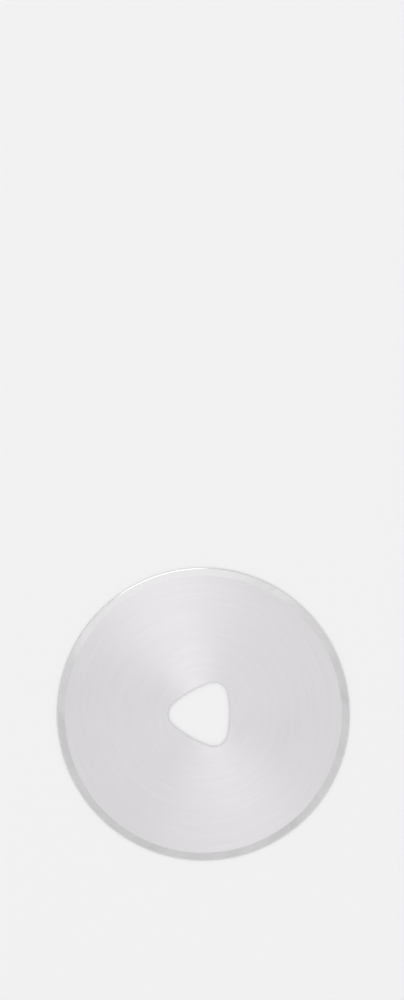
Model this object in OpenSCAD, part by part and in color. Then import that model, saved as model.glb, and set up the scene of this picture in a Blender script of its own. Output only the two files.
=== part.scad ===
// Rotary cutter blade: a thin steel disc that is ground and honed to one keen
// edge all round, with a rounded three-cornered hole for the cutter's post.
// It lies flat on Z = 0, and the Z axis runs through the middle of the hole.

/* [Disc] */
// Diameter across the cutting edge
blade_d = 45; // [28:0.5:60]
// Thickness of the steel strip that the disc is stamped from
strip_t = 0.3; // [0.2:0.01:0.5]

/* [Cutting edge] */
// Radial width of the ground bevel on each face
grind_w = 1.05; // [0.5:0.05:2]
// Radial width of the finer honed facet outside it
hone_w = 0.12; // [0.04:0.01:0.3]
// Thickness that the grinding leaves where the honed facet starts
hone_t = 0.05; // [0.02:0.005:0.1]

/* [Post hole] */
// Diameter of the round post that the blade turns on
post_d = 8; // [6.4:0.1:9]
// Gap between the post and the middle of each side of the hole
post_gap = 0.1; // [0.05:0.01:0.3]
// Radius to which each side of the hole is bowed outwards
side_r = 17; // [9:0.5:60]
// Radius of the hole's rounded corners
corner_r = 2.2; // [0.8:0.1:3]
// Direction of the first corner, counter-clockwise from +X
corner_angle = 180; // [0:5:360]

/* [Hidden] */
$fn = 180;

// The ground disc's section, from the cutting edge inwards
edge_r = blade_d / 2;
hone_r = edge_r - hone_w;
flat_r = hone_r - grind_w;
mid_z = strip_t / 2;

// The hole's outline is three bowed sides that run into three rounded corners. The
// centre of each side's arc lies side_off out of the middle, on the line of the corner
// that the side faces, and the centre of each corner's arc lies corner_off out.
corners = 3;
pitch = 360 / corners;
inner_r = post_d / 2 + post_gap;
side_off = side_r - inner_r;
// The arcs cross at this angle, in degrees, which is too slight to see or feel
crossing = 2;
// Distance between the centres of two arcs that cross at that angle
centre_gap = sqrt(side_r ^ 2 + corner_r ^ 2 - 2 * side_r * corner_r * cos(crossing));
corner_off = sqrt(centre_gap ^ 2 - (side_off * sin(pitch / 2)) ^ 2)
    - side_off * cos(pitch / 2);
// Direction in which a side arc meets a corner arc, from the corner arc's centre
meeting = atan2(side_off * sin(pitch / 2), corner_off + side_off * cos(pitch / 2));
// Distance from the middle to the flat stop that trims the side arcs inside a corner
stop_off = corner_off + corner_r * cos(meeting);
// How far the hole's tool runs past each face of the disc
run_past = 1;
tool_h = strip_t + 2 * run_past;

// Disc with its flat faces, and the ground and honed facets that meet at the edge
module ground_disc() {
    rotate_extrude()
        polygon([
            [0, 0],
            [flat_r, 0],
            [hone_r, mid_z - hone_t / 2],
            [edge_r, mid_z],
            [hone_r, mid_z + hone_t / 2],
            [flat_r, strip_t],
            [0, strip_t],
        ]);
}

// Upright round bar of radius r, struck from off out of the middle towards a corner
module bar(r, off, corner) {
    rotate([0, 0, corner_angle + corner * pitch])
        translate([off, 0, 0])
            cylinder(r = r, h = tool_h);
}

// Solid in the shape of the hole: three crossed bars trimmed to a triangle give
// its bowed sides, and a smaller bar fills out each corner
module post_hole() {
    translate([0, 0, -run_past]) {
        intersection() {
            intersection_for (i = [0 : corners - 1])
                bar(side_r, side_off, i);
            rotate([0, 0, corner_angle + pitch / 2])
                cylinder(r = stop_off / cos(pitch / 2), h = tool_h, $fn = corners);
        }
        for (i = [0 : corners - 1])
            bar(corner_r, corner_off, i);
    }
}

module blade() {
    color("silver")
        difference() {
            ground_disc();
            post_hole();
        }
}

blade();
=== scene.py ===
# %% [markdown]
# # The blade of a rotary cutter
#
# A rotary cutter rolls a round blade through cloth or paper. The blade is a thin steel
# disc with a keen edge all round and a rounded three-cornered hole, which turns on the
# cutter's post. This lesson models the blade, gives each of its surfaces the finish of
# the machine that made it, and lights it so that the steel looks like steel.
#
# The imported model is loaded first. It is the frame that everything else has to fit: all
# sizes here are in metres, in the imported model's own place.

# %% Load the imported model
import math
import bmesh
import bpy
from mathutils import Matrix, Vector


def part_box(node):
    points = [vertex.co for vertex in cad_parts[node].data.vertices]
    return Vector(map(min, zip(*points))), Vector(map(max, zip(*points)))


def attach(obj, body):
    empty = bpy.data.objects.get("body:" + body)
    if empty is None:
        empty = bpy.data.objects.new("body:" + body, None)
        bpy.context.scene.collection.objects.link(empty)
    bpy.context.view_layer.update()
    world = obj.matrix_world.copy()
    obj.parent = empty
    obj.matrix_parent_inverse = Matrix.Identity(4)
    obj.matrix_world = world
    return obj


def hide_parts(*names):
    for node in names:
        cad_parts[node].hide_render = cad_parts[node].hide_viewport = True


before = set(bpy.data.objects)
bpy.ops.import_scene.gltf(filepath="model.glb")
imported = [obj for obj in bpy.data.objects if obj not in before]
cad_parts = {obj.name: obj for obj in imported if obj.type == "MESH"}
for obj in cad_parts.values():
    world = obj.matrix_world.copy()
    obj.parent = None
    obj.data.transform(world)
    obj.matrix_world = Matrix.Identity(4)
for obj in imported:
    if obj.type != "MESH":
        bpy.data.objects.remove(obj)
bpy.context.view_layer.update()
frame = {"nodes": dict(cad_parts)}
print("packed pieces:", ", ".join(frame["nodes"]))

# %% [markdown]
# ## Sizes
#
# The frame gives the blade's radius and thickness. The other sizes are the ones that the
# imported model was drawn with. A blade like this is stamped from strip, lapped flat on
# both faces, ground to a long bevel on both faces, and honed to a second, steeper bevel
# that is only a hair wide.

# %% Sizes of the blade
MM = 0.001
low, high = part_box("blade")
edge_r = max(high[0], high[1])
half_t = (high[2] - low[2]) / 2
mid_z = (high[2] + low[2]) / 2
hone_w = 0.12 * MM
hone_half_t = 0.05 * MM / 2
grind_w = 1.05 * MM
hone_r = edge_r - hone_w
flat_r = hone_r - grind_w
print(f"cutting edge at {edge_r / MM:.2f} mm, flat out to {flat_r / MM:.2f} mm, "
      f"{2 * half_t / MM:.2f} mm thick")

# %% [markdown]
# ## The post hole's outline
#
# The hole is not round: three bowed sides run into three rounded corners, so that the
# post touches it in three places only. Every stretch of the outline is a true arc. The
# two radii fix where the centres lie, because a side and a corner have to meet without
# a kink: their two centres and the point where they meet lie on one straight line.

# %% Where the outline's arcs have their centres
post_r = 4 * MM
post_gap = 0.1 * MM
side_r = 17 * MM
corner_r = 2.2 * MM
first_corner = math.radians(180)
corners = 3
pitch = math.tau / corners
inner_r = post_r + post_gap
side_off = side_r - inner_r
side_x = side_off * math.cos(pitch / 2)
side_y = side_off * math.sin(pitch / 2)
corner_off = math.sqrt((side_r - corner_r) ** 2 - side_y ** 2) - side_x
corner_span = 2 * math.atan2(side_y, corner_off + side_x)
side_span = pitch - corner_span
print(f"sides lie {inner_r / MM:.2f} mm out, corners reach {(corner_off + corner_r) / MM:.2f} mm")

# %% [markdown]
# An arc could be cut out of a circle, but it is easier to swing one point round its
# centre with the spin tool, six times over, like a pair of compasses. The point is made
# by merging a small plane at its middle. A positive angle spins clockwise, seen from
# above, so the angles are negative here.
#
# The steps are shared out so that all points lie about as far apart in direction, seen
# from the middle of the hole. That lets the outline be joined to a round rim later
# without twisting any face.

# %% Draw the outline by spinning one point
start_side = 1 * MM
corner_steps = 80
side_steps = 160
same_point = 0.0001 * MM


def spot(distance, direction, z=0.0):
    """The point at a distance and a direction from the blade's axis."""
    return (distance * math.cos(direction), distance * math.sin(direction), z)


def edit_points():
    """The points of the mesh that is open in edit mode."""
    return bmesh.from_edit_mesh(bpy.context.object.data).verts


bpy.ops.object.select_all(action="DESELECT")
bpy.ops.mesh.primitive_plane_add(size=start_side)
blade = bpy.context.object
blade.name = "ground_blade"
bpy.ops.object.mode_set(mode="EDIT")
bpy.ops.mesh.select_all(action="SELECT")
bpy.ops.mesh.merge(type="CENTER")
corner_centre = spot(corner_off, first_corner)
from_centre = spot(corner_r, first_corner - corner_span / 2)
bpy.ops.transform.translate(value=[a + b for a, b in zip(corner_centre, from_centre)])
for corner in range(corners):
    toward = first_corner + corner * pitch
    bpy.ops.mesh.spin(steps=corner_steps, angle=-corner_span, axis=(0, 0, 1),
                      center=spot(corner_off, toward))
    bpy.ops.mesh.spin(steps=side_steps, angle=-side_span, axis=(0, 0, 1),
                      center=spot(side_off, toward + pitch / 2 + math.pi))
bpy.ops.mesh.select_all(action="SELECT")
bpy.ops.mesh.remove_doubles(threshold=same_point)
reach = [point.co.length / MM for point in edit_points()]
rim_points = len(reach)
print(f"{rim_points} points, {min(reach):.3f} to {max(reach):.3f} mm from the axis")

# %% [markdown]
# ## From outline to blade
#
# Both faces of the blade are alike, so only the upper half is modelled, above a middle
# plane at zero height, and the rest is its mirror image. The hole's wall is pulled up
# from the outline, and its rim is eased by two hundredths of a millimetre, as
# tumbling leaves it. The cutting edge is a circle with the same number of points. It is
# pulled up and drawn in twice: a short step for the honed facet and a long one for the
# ground bevel.

# %% Raise the hole's wall and draw in the two bevels
rim_ease = 0.02 * MM


def pull(rise, spread=1.0):
    """Extrudes the selected rim upwards, and spreads it about the blade's axis."""
    bpy.ops.mesh.extrude_edges_move(TRANSFORM_OT_translate={"value": (0, 0, rise)})
    bpy.ops.transform.resize(value=(spread, spread, 1), center_override=(0, 0, 0))


pull(half_t - rim_ease)
pull(rim_ease, 1 + rim_ease / inner_r)
bpy.ops.mesh.select_all(action="DESELECT")
bpy.ops.mesh.primitive_circle_add(vertices=rim_points, radius=edge_r)
pull(hone_half_t, hone_r / edge_r)
pull(half_t - hone_half_t, flat_r / hone_r)
print("points before the face is closed:", len(edit_points()))

# %% [markdown]
# The two open rims at the top are bridged, which makes the flat face. A solid disc with
# a hole cut by a boolean would look the same from above, but it would leave long
# slivers at the hole, and the eased rim would be hard to add. The bridge's own rings
# follow a curve unless they are told to run straight, and would dome the face.
#
# The mirror gives the lower half. The bevels meet the faces at less than ten degrees,
# so the limit for smooth shading is kept low: the bevels' borders stay crisp, and only
# the round stretches are smoothed.

# %% Close the face, mirror it and set it in its place
face_rings = 9
crisp = math.radians(2.5)
for point in edit_points():
    point.select = point.co.z > half_t - same_point
bmesh.from_edit_mesh(blade.data).select_flush(True)
bpy.ops.mesh.bridge_edge_loops(number_cuts=face_rings, interpolation="LINEAR")
bpy.ops.object.mode_set(mode="OBJECT")
mirror = blade.modifiers.new("lower half", "MIRROR")
mirror.use_axis = (False, False, True)
mirror.merge_threshold = same_point
bpy.ops.object.modifier_apply(modifier=mirror.name)
bpy.ops.object.mode_set(mode="EDIT")
bpy.ops.mesh.select_all(action="SELECT")
bpy.ops.mesh.normals_make_consistent(inside=False)
bpy.ops.object.mode_set(mode="OBJECT")
blade.location.z = mid_z
bpy.ops.object.transform_apply(location=True)
bpy.ops.object.shade_smooth_by_angle(angle=crisp)
print("blade:", len(blade.data.vertices), "points,", len(blade.data.polygons), "faces")

# %% [markdown]
# ## Nodes as sums
#
# A finish is worked out from a point's distance and direction from the blade's axis,
# with a good deal of arithmetic. Written node by node that is hard to read, so a small
# class wraps a node's output and lets Python's own signs add the Math nodes.

# %% A small language for shader nodes
class Wire:
    """A node's output that can be used in a sum."""

    def __init__(self, tree, socket=None):
        self.tree = tree
        self.socket = socket

    def add(self, kind, settings=None, inputs=None, output=0):
        """Adds a node: first its settings, then the values or links of its sockets."""
        node = self.tree.nodes.new(kind)
        for name, value in (settings or {}).items():
            setattr(node, name, value)
        for name, value in (inputs or {}).items():
            if isinstance(value, Wire):
                self.tree.links.new(value.socket, node.inputs[name])
            else:
                node.inputs[name].default_value = value
        return Wire(self.tree, node.outputs[output] if node.outputs else None)

    def out(self, name):
        """Another output of the same node."""
        return Wire(self.tree, self.socket.node.outputs[name])

    def math(self, operation, *operands):
        """One Math node."""
        return self.add("ShaderNodeMath", {"operation": operation}, dict(enumerate(operands)))

    def tint(self, low_colour, high_colour):
        """A colour between two, by this value from 0 to 1."""
        return self.add("ShaderNodeMix", {"data_type": "RGBA"},
                        {0: self, 6: low_colour, 7: high_colour}, output=2)

    def __add__(self, other):
        return self.math("ADD", self, other)

    def __radd__(self, other):
        return self.math("ADD", other, self)

    def __sub__(self, other):
        return self.math("SUBTRACT", self, other)

    def __rsub__(self, other):
        return self.math("SUBTRACT", other, self)

    def __mul__(self, other):
        return self.math("MULTIPLY", self, other)

    def __rmul__(self, other):
        return self.math("MULTIPLY", other, self)

    def __truediv__(self, other):
        return self.math("DIVIDE", self, other)


# %% [markdown]
# Four helpers follow. The first starts a material. The second gives a point's place as
# a turner would: how far from the axis, in which direction, and how high. It reads
# Object coordinates, which keep their place on the piece.
#
# The third is grain in rings. Noise has no round kind, so its first two coordinates are
# the direction's cosine and sine, which close up after one turn, and the third runs
# across the rings. The last helper ends a material in bare metal.

# %% Helpers for every finish
def new_sheet(name):
    """A material without nodes, and the wire that its nodes are added through."""
    material = bpy.data.materials.new(name)
    material.use_nodes = True
    material.node_tree.nodes.clear()
    return Wire(material.node_tree)


def about_axis(sheet):
    """A point's distance from the blade's axis, its direction and its height."""
    place = sheet.add("ShaderNodeTexCoord", output="Object")
    x = sheet.add("ShaderNodeSeparateXYZ", inputs={0: place})
    y = x.out("Y")
    return sheet.math("SQRT", x * x + y * y), sheet.math("ARCTAN2", y, x), x.out("Z")


def ring_grain(sheet, across, direction, around, octaves=3):
    """Noise of about 0.5, with cells one unit wide in across and 1 / around in direction."""
    place = sheet.add("ShaderNodeCombineXYZ", inputs={
        0: sheet.math("COSINE", direction) * around,
        1: sheet.math("SINE", direction) * around,
        2: across})
    return sheet.add("ShaderNodeTexNoise", inputs={"Vector": place, "Scale": 1.0,
                                                   "Detail": octaves, "Roughness": 0.6})


def bare_metal(sheet, colour, roughness, brushed=0.0, turn=0.0, marks=None, depth=0.0):
    """Ends a sheet in a metal. How strongly and which way it is brushed is constant."""
    inputs = {"Metallic": 1.0, "Base Color": colour, "Roughness": roughness,
              "Anisotropic": brushed, "Anisotropic Rotation": turn}
    if marks:
        inputs["Normal"] = sheet.add("ShaderNodeBump", inputs={
            "Height": marks, "Strength": 1.0, "Distance": depth})
    shader = sheet.add("ShaderNodeBsdfPrincipled", inputs=inputs)
    sheet.add("ShaderNodeOutputMaterial", inputs={"Surface": shader})
    print("finish with", len(sheet.tree.nodes), "nodes")


# %% [markdown]
# ## The lapped faces
#
# The flat faces are turned and lapped, which leaves rings too fine to see one by one.
# They are seen by what they do to light: they spread it across themselves and hardly
# along, so a lamp shows as a fan of light on both sides of the middle. In the shader
# that is anisotropy. Its brushing runs round the axis by default, and a quarter turn
# makes the light spread outwards, as it does on rings.
#
# Over that lie faint broader rings, and a cloudiness as of a wiped film of oil. The
# face is also painted a touch lighter near the hole than out at the bevel: painted light
# on the middle and painted shade towards the rim, which lighten the colour inside six
# tenths of the radius and darken it outside.

# %% Finish of the flat faces
quarter_turn = 0.25
lapped_dark = (0.605, 0.593, 0.605, 1)
lapped_light = (0.803, 0.786, 0.803, 1)
# Painted light: how much lighter the middle and darker the rim are painted, and at which share of
# the radius the colour is left as it is.
painted_centre_light = 0.15
no_painted_light_at = 0.6
broad_w = 0.9 * MM
fine_w = 0.16 * MM
cloud_w = 9 * MM

sheet = new_sheet("lapped_steel")
distance, direction, _ = about_axis(sheet)
broad_rings = ring_grain(sheet, distance / broad_w, direction, around=0.8)
fine_rings = ring_grain(sheet, distance / fine_w, direction, around=3)
place = sheet.add("ShaderNodeTexCoord", output="Object")
film = sheet.add("ShaderNodeTexNoise", inputs={"Vector": place, "Scale": 1 / cloud_w,
                                               "Detail": 3})
tone = broad_rings * 0.4 + fine_rings * 0.4 + film * 0.2
# Painted light and shade: the colour is lifted inside six tenths of the radius and lowered
# outside it.
lapped = tone + painted_centre_light * (no_painted_light_at - distance / edge_r)
bare_metal(sheet, lapped.tint(lapped_dark, lapped_light), 0.24 + 0.10 * tone + 0.06 * film,
           brushed=0.75, turn=quarter_turn,
           marks=fine_rings + 0.5 * broad_rings, depth=0.0012 * MM)

# %% [markdown]
# ## The ground bevel
#
# The bevel is ground by a cup wheel that sweeps across it, so its marks lie slanted
# across the ring, and close together. The slant is made by turning the direction a
# little as the distance grows. The wheel cuts more keenly in some stretches than in
# others, which leaves the ring brighter here and duller there.

# %% Finish of the bevel
ground_dark = (0.63, 0.62, 0.63, 1)
ground_light = (0.91, 0.90, 0.91, 1)
slant = 0.9
mark_w = 0.22 * MM
mark_reach = 3 * MM
stretch_reach = 4 * MM

sheet = new_sheet("ground_steel")
distance, direction, _ = about_axis(sheet)
swept = direction + (distance - flat_r) * (slant / edge_r)
marks = ring_grain(sheet, distance / mark_reach, swept, around=edge_r / mark_w)
stretches = ring_grain(sheet, distance / stretch_reach, swept, around=5, octaves=2)
tone = marks * 0.45 + stretches * 0.55
bare_metal(sheet, tone.tint(ground_dark, ground_light), 0.18 + 0.28 * tone,
           brushed=0.5, marks=marks, depth=0.0004 * MM)

# %% [markdown]
# ## The honed facet and the hole's wall
#
# Honing leaves the narrow outer facet almost like a mirror, so it catches a lamp as a
# bright line wherever the edge faces one. The hole is punched, and its wall is the
# roughest surface of the blade: it is torn in short lines that run through the strip.

# %% Finish of the facet and of the wall
honed_dark = (0.84, 0.83, 0.84, 1)
honed_light = (0.94, 0.93, 0.94, 1)
glint_w = 0.3 * MM

sheet = new_sheet("honed_steel")
distance, direction, _ = about_axis(sheet)
glints = ring_grain(sheet, distance / glint_w, direction, around=edge_r / glint_w)
bare_metal(sheet, glints.tint(honed_dark, honed_light), 0.06 + 0.08 * glints)

torn_dark = (0.45, 0.44, 0.45, 1)
torn_light = (0.70, 0.69, 0.70, 1)
tear_w = 0.08 * MM
tear_h = 0.3 * MM

sheet = new_sheet("punched_steel")
_, direction, height = about_axis(sheet)
tears = ring_grain(sheet, height / tear_h, direction, around=inner_r / tear_w, octaves=4)
bare_metal(sheet, tears.tint(torn_dark, torn_light), 0.30 + 0.25 * tears,
           marks=tears, depth=0.004 * MM)

# %% [markdown]
# ## Which face is which
#
# Each face of the mesh gets its finish by where it lies. Out at the edge its distance
# from the axis tells. Further in its slope does: the normal of a lapped face points
# straight up or down, and those of the hole's wall and of its eased rim do not.
#
# Then the blade is tied to the frame. It rides on the only body, and stands for the
# packed blade, which is hidden.

# %% Give each region its finish
finishes = ("lapped_steel", "ground_steel", "honed_steel", "punched_steel")
LAPPED, GROUND, HONED, PUNCHED = range(len(finishes))
upright = 0.9
for name in finishes:
    blade.data.materials.append(bpy.data.materials[name])
for face in blade.data.polygons:
    out = math.hypot(face.center.x, face.center.y)
    if out > hone_r:
        face.material_index = HONED
    elif out > flat_r:
        face.material_index = GROUND
    elif abs(face.normal.z) < upright:
        face.material_index = PUNCHED
    else:
        face.material_index = LAPPED
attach(blade, "root")
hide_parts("blade")
for index, name in enumerate(finishes):
    print(name, sum(face.material_index == index for face in blade.data.polygons), "faces")

# %% [markdown]
# ## Floor
#
# The blade lies on a plain pale floor, which also shows through its hole. The floor is
# nearly white by its own colour, so that the lamps can stay dim enough for the steel.

# %% Floor
floor_side = 12
floor_white = (0.965, 0.957, 0.969, 1)
bpy.ops.object.select_all(action="DESELECT")
bpy.ops.mesh.primitive_plane_add(size=floor_side)
floor = bpy.context.object
floor.name = "pale_floor"
sheet = new_sheet("pale_paint")
paint = sheet.add("ShaderNodeBsdfPrincipled", inputs={"Base Color": floor_white,
                                                      "Roughness": 0.8})
sheet.add("ShaderNodeOutputMaterial", inputs={"Surface": paint})
floor.data.materials.append(bpy.data.materials["pale_paint"])
print("floor:", floor_side, "m square")

# %% [markdown]
# ## Light
#
# Bare metal has no colour of its own: it shows what stands around it. Under an even sky
# the blade would look like grey paint. A long narrow lamp above it is what draws the fan
# on its faces. The lamp hangs a little to the back, so that the bevel catches it there
# and stays darker in front, which tells the eye that the edge slopes. Four wide panels
# stand round the blade, well up in the sky, and do the same for an eye that looks from
# the side. They are kept dim, because a bevel that mirrors one whole would turn white
# otherwise.
#
# An area lamp's radiance is its energy over its area and over pi. The helper takes the
# radiance, so that a lamp keeps its brightness when its size is changed. It turns each
# lamp to the blade and keeps its width level.

# %% Lamps and sky
def aloft(azimuth, elevation, away):
    """A point away from the blade, in a direction and at a slope given in degrees."""
    slope = math.radians(elevation)
    return spot(away * math.cos(slope), math.radians(azimuth), away * math.sin(slope))


def softbox(name, place, width, depth, radiance):
    """A rectangular lamp of even radiance that faces the blade."""
    lamp = bpy.data.lights.new(name, "AREA")
    lamp.shape = "RECTANGLE"
    lamp.size = width
    lamp.size_y = depth
    lamp.energy = radiance * math.pi * width * depth
    box = bpy.data.objects.new(name, lamp)
    bpy.context.collection.objects.link(box)
    box.location = place
    box.rotation_euler = (-box.location).to_track_quat("-Z", "Y").to_euler()


panels = 4
first_panel = 22
sky_white = (1, 1, 1, 1)
sky_strength = 0.71
softbox("overhead_strip", aloft(azimuth=110, elevation=76, away=0.75),
        width=0.22, depth=0.7, radiance=0.74)
for panel in range(panels):
    azimuth = first_panel + panel * 360 / panels
    softbox(f"side_panel_{panel}", aloft(azimuth, elevation=35, away=1.2),
            width=1.0, depth=0.65, radiance=0.55)
sky = bpy.data.worlds.new("even_sky")
bpy.context.scene.world = sky
sky.use_nodes = True
backdrop = sky.node_tree.nodes["Background"]
backdrop.inputs["Color"].default_value = sky_white
backdrop.inputs["Strength"].default_value = sky_strength
print("lamps:", ", ".join(lamp.name for lamp in bpy.data.lights))

# %% [markdown]
# ## Camera
#
# The photograph looks at the disc square on, so the camera looks straight down. The
# disc's size in the picture gives the length of one pixel on the blade, the lens then
# gives the camera's height, and the disc's place in the picture gives the camera's
# place. The sensor's width counts along the longer side of the picture, which is its
# height here. A long lens keeps the view as flat as the photograph's.

# %% Camera
photo_w, photo_h = 404, 1000
disc_px = 292.2
disc_x_px, disc_y_px = 203.29, 714.15
pixel = 2 * edge_r / disc_px
lens = 120
sensor = 36
eye = bpy.data.cameras.new("camera")
eye.lens = lens
eye.sensor_width = sensor
eye.clip_start = 0.01
camera = bpy.data.objects.new("camera", eye)
bpy.context.collection.objects.link(camera)
camera.location = ((photo_w / 2 - disc_x_px) * pixel, (disc_y_px - photo_h / 2) * pixel,
                   mid_z + photo_h * pixel * lens / sensor)
bpy.context.scene.camera = camera
bpy.context.scene.view_settings.view_transform = "Standard"
print(f"one pixel is {pixel / MM:.3f} mm, the camera is {camera.location.z:.3f} m up")
